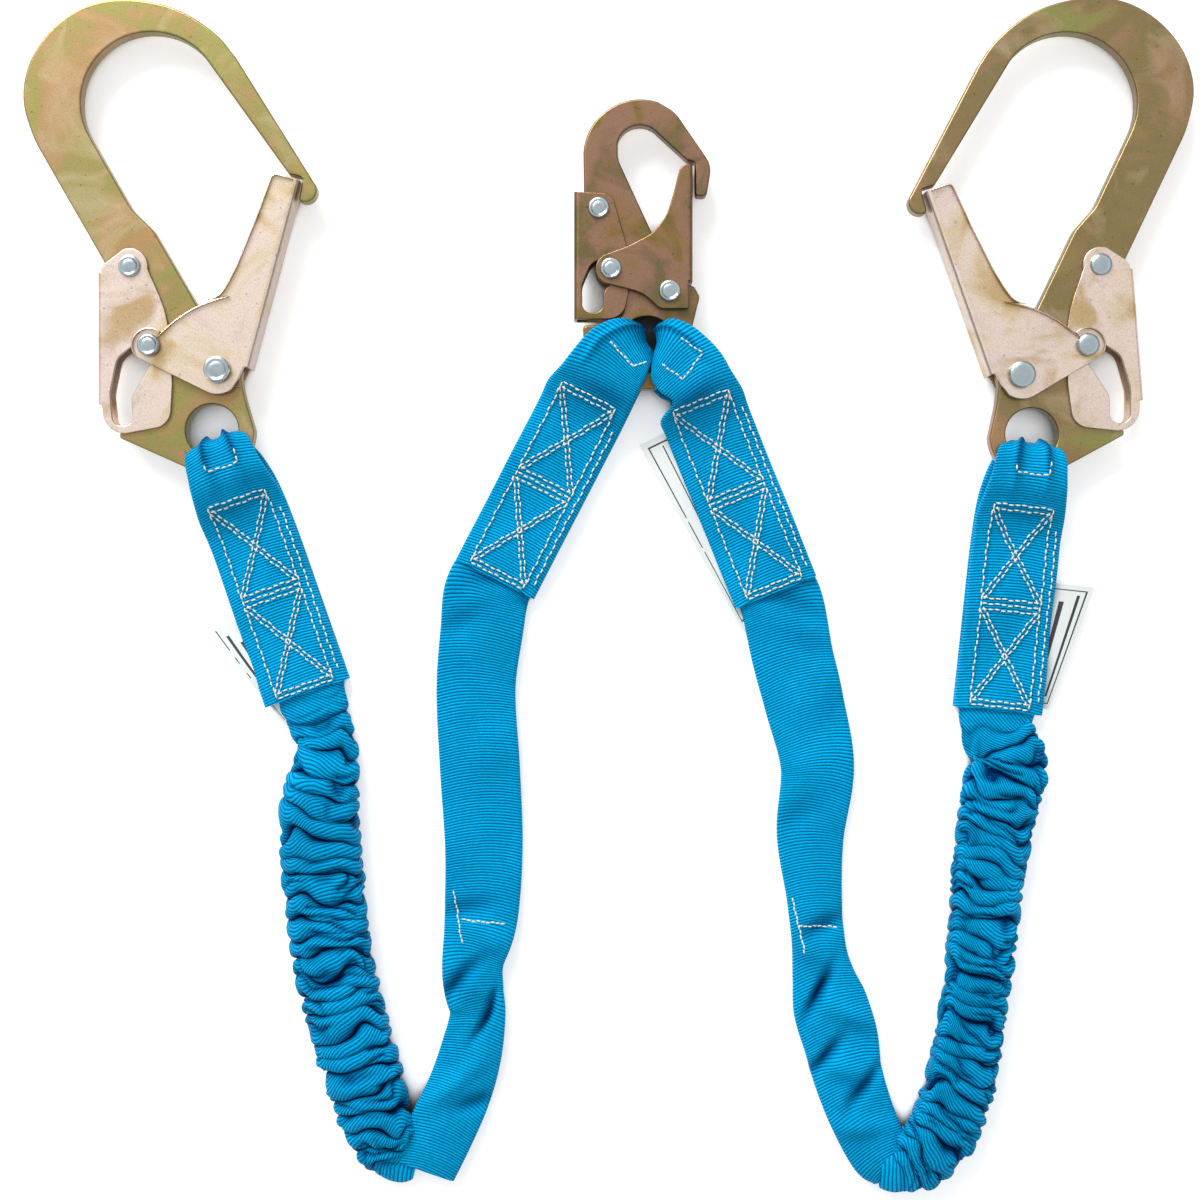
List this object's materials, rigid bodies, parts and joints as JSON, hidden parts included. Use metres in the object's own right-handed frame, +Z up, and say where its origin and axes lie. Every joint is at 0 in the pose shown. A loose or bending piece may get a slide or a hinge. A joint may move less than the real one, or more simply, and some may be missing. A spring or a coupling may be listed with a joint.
{
  "type": "shock absorbing lanyard",
  "caption": "Twin-leg fall-protection lanyard: centre snap hook, two tubular webbing legs with flat and gathered elastic runs, and a large locking hook on each leg.",
  "frame": {"origin": "centre of the footprint, on the surface that the lanyard lies on", "axes": "+Z up from the ground, +Y towards the three hooks, +X towards the right-hand leg"},
  "size_m": [0.5832, 0.5892, 0.0212],
  "materials": {
    "yellow_zinc": "yellow zinc plated, satin, iridescent",
    "brown_zinc": "brown zinc dichromate, satin",
    "bright_zinc": "bright zinc plated rivets",
    "spring_steel": "bare spring wire",
    "blue_webbing": "ribbed woven polyester webbing",
    "core_webbing": "woven tear core",
    "elastic": "elastic webbing",
    "label": "printed vinyl label cloth"
  },
  "bodies": {
    "snap_hook": {"snap_hook_body": "brown_zinc", "snap_hook_gate_pivot": "bright_zinc", "snap_hook_lever_pivot": "bright_zinc", "snap_hook_gate_spring": "spring_steel", "snap_hook_lock_spring": "spring_steel"},
    "snap_gate": {"snap_hook_gate": "brown_zinc", "snap_hook_gate_pin": "bright_zinc"},
    "snap_lever": {"snap_hook_lock_lever": "brown_zinc"},
    "left_upper_leg": {"left_snap_loop": "blue_webbing", "left_snap_wear_pad": "blue_webbing", "left_flat_jacket": "blue_webbing", "left_absorber_core": "core_webbing"},
    "left_lower_leg": {"left_elastic_jacket": "blue_webbing", "left_elastic_web": "elastic"},
    "left_hook_tab": {"left_hook_loop": "blue_webbing", "left_hook_wear_pad": "blue_webbing", "left_hook_label": "label"},
    "left_hook": {"left_hook_body": "yellow_zinc", "left_hook_gate_pivot": "bright_zinc", "left_hook_lever_pivot": "bright_zinc", "left_hook_gate_spring": "spring_steel", "left_hook_lock_spring": "spring_steel"},
    "left_gate": {"left_hook_gate": "yellow_zinc", "left_hook_gate_pin": "bright_zinc"},
    "left_lever": {"left_hook_lock_lever": "yellow_zinc"},
    "right_upper_leg": {"right_snap_loop": "blue_webbing", "right_snap_wear_pad": "blue_webbing", "right_flat_jacket": "blue_webbing", "right_absorber_core": "core_webbing", "right_snap_label": "label"},
    "right_lower_leg": {"right_elastic_jacket": "blue_webbing", "right_elastic_web": "elastic"},
    "right_hook_tab": {"right_hook_loop": "blue_webbing", "right_hook_wear_pad": "blue_webbing", "right_hook_label": "label"},
    "right_hook": {"right_hook_body": "yellow_zinc", "right_hook_gate_pivot": "bright_zinc", "right_hook_lever_pivot": "bright_zinc", "right_hook_gate_spring": "spring_steel", "right_hook_lock_spring": "spring_steel"},
    "right_gate": {"right_hook_gate": "yellow_zinc", "right_hook_gate_pin": "bright_zinc"},
    "right_lever": {"right_hook_lock_lever": "yellow_zinc"}
  },
  "joints": [
    {"name": "left_leg_swing", "type": "hinge", "parent": "snap_hook", "child": "left_upper_leg", "pos_m": [0.01924, 0.12199, 0.0106], "axis": [0, 0, -1], "range_deg": [0, 16]},
    {"name": "left_leg_fold", "type": "hinge", "parent": "left_upper_leg", "child": "left_lower_leg", "pos_m": [-0.09976, -0.29051, 0], "axis": [0, 0, 1], "range_deg": [0, 40]},
    {"name": "left_leg_stretch", "type": "slide", "parent": "left_lower_leg", "child": "left_hook_tab", "axis": [-0.2103, 0.9776, 0], "range_m": [0, 0.38], "stiffness_N_per_m": 40, "deforming": ["left_elastic_jacket", "left_elastic_web"]},
    {"name": "left_hook_swing", "type": "hinge", "parent": "left_hook_tab", "child": "left_hook", "pos_m": [-0.19746, 0.07899, 0.0106], "axis": [0, 0, 1], "range_deg": [-25, 25]},
    {"name": "right_leg_swing", "type": "hinge", "parent": "snap_hook", "child": "right_upper_leg", "pos_m": [0.01924, 0.12199, 0.0106], "axis": [0, 0, 1], "range_deg": [0, 16]},
    {"name": "right_leg_fold", "type": "hinge", "parent": "right_upper_leg", "child": "right_lower_leg", "pos_m": [0.14674, -0.28951, 0], "axis": [0, 0, -1], "range_deg": [0, 40]},
    {"name": "right_leg_stretch", "type": "slide", "parent": "right_lower_leg", "child": "right_hook_tab", "axis": [0.2107, 0.9776, 0], "range_m": [0, 0.38], "stiffness_N_per_m": 40, "deforming": ["right_elastic_jacket", "right_elastic_web"]},
    {"name": "right_hook_swing", "type": "hinge", "parent": "right_hook_tab", "child": "right_hook", "pos_m": [0.21074, 0.07699, 0.0106], "axis": [0, 0, 1], "range_deg": [-25, 25]},
    {"name": "left_gate_swing", "type": "hinge", "parent": "left_hook", "child": "left_gate", "pos_m": [-0.19406, 0.10864, 0.0106], "axis": [0, 0, 1], "range_deg": [0, 45], "stiffness_Nm_per_rad": 0.15, "deforming": ["left_hook_gate_spring"]},
    {"name": "left_lever_press", "type": "hinge", "parent": "left_hook", "child": "left_lever", "pos_m": [-0.23786, 0.16023, 0.0106], "axis": [0, 0, 1], "range_deg": [0, 14], "stiffness_Nm_per_rad": 0.1, "deforming": ["left_hook_lock_spring"]},
    {"name": "right_gate_swing", "type": "hinge", "parent": "right_hook", "child": "right_gate", "pos_m": [0.20503, 0.10628, 0.0106], "axis": [0, 0, -1], "range_deg": [0, 45], "stiffness_Nm_per_rad": 0.15, "deforming": ["right_hook_gate_spring"]},
    {"name": "right_lever_press", "type": "hinge", "parent": "right_hook", "child": "right_lever", "pos_m": [0.24465, 0.16115, 0.0106], "axis": [0, 0, -1], "range_deg": [0, 14], "stiffness_Nm_per_rad": 0.1, "deforming": ["right_hook_lock_spring"]},
    {"name": "snap_gate_swing", "type": "hinge", "parent": "snap_hook", "child": "snap_gate", "pos_m": [0.03024, 0.14759, 0.0106], "axis": [0, 0, 1], "range_deg": [0, 26], "stiffness_Nm_per_rad": 0.08, "deforming": ["snap_hook_gate_spring"]},
    {"name": "snap_lever_press", "type": "hinge", "parent": "snap_hook", "child": "snap_lever", "pos_m": [-0.00486, 0.18919, 0.0106], "axis": [0, 0, 1], "range_deg": [0, 11], "stiffness_Nm_per_rad": 0.06, "deforming": ["snap_hook_lock_spring"]}
  ],
  "couplings": [
    {"joint": "left_lever_press", "follows": "left_gate_swing", "ratio": 0.3},
    {"joint": "right_lever_press", "follows": "right_gate_swing", "ratio": 0.3},
    {"joint": "snap_lever_press", "follows": "snap_gate_swing", "ratio": 0.42}
  ]
}
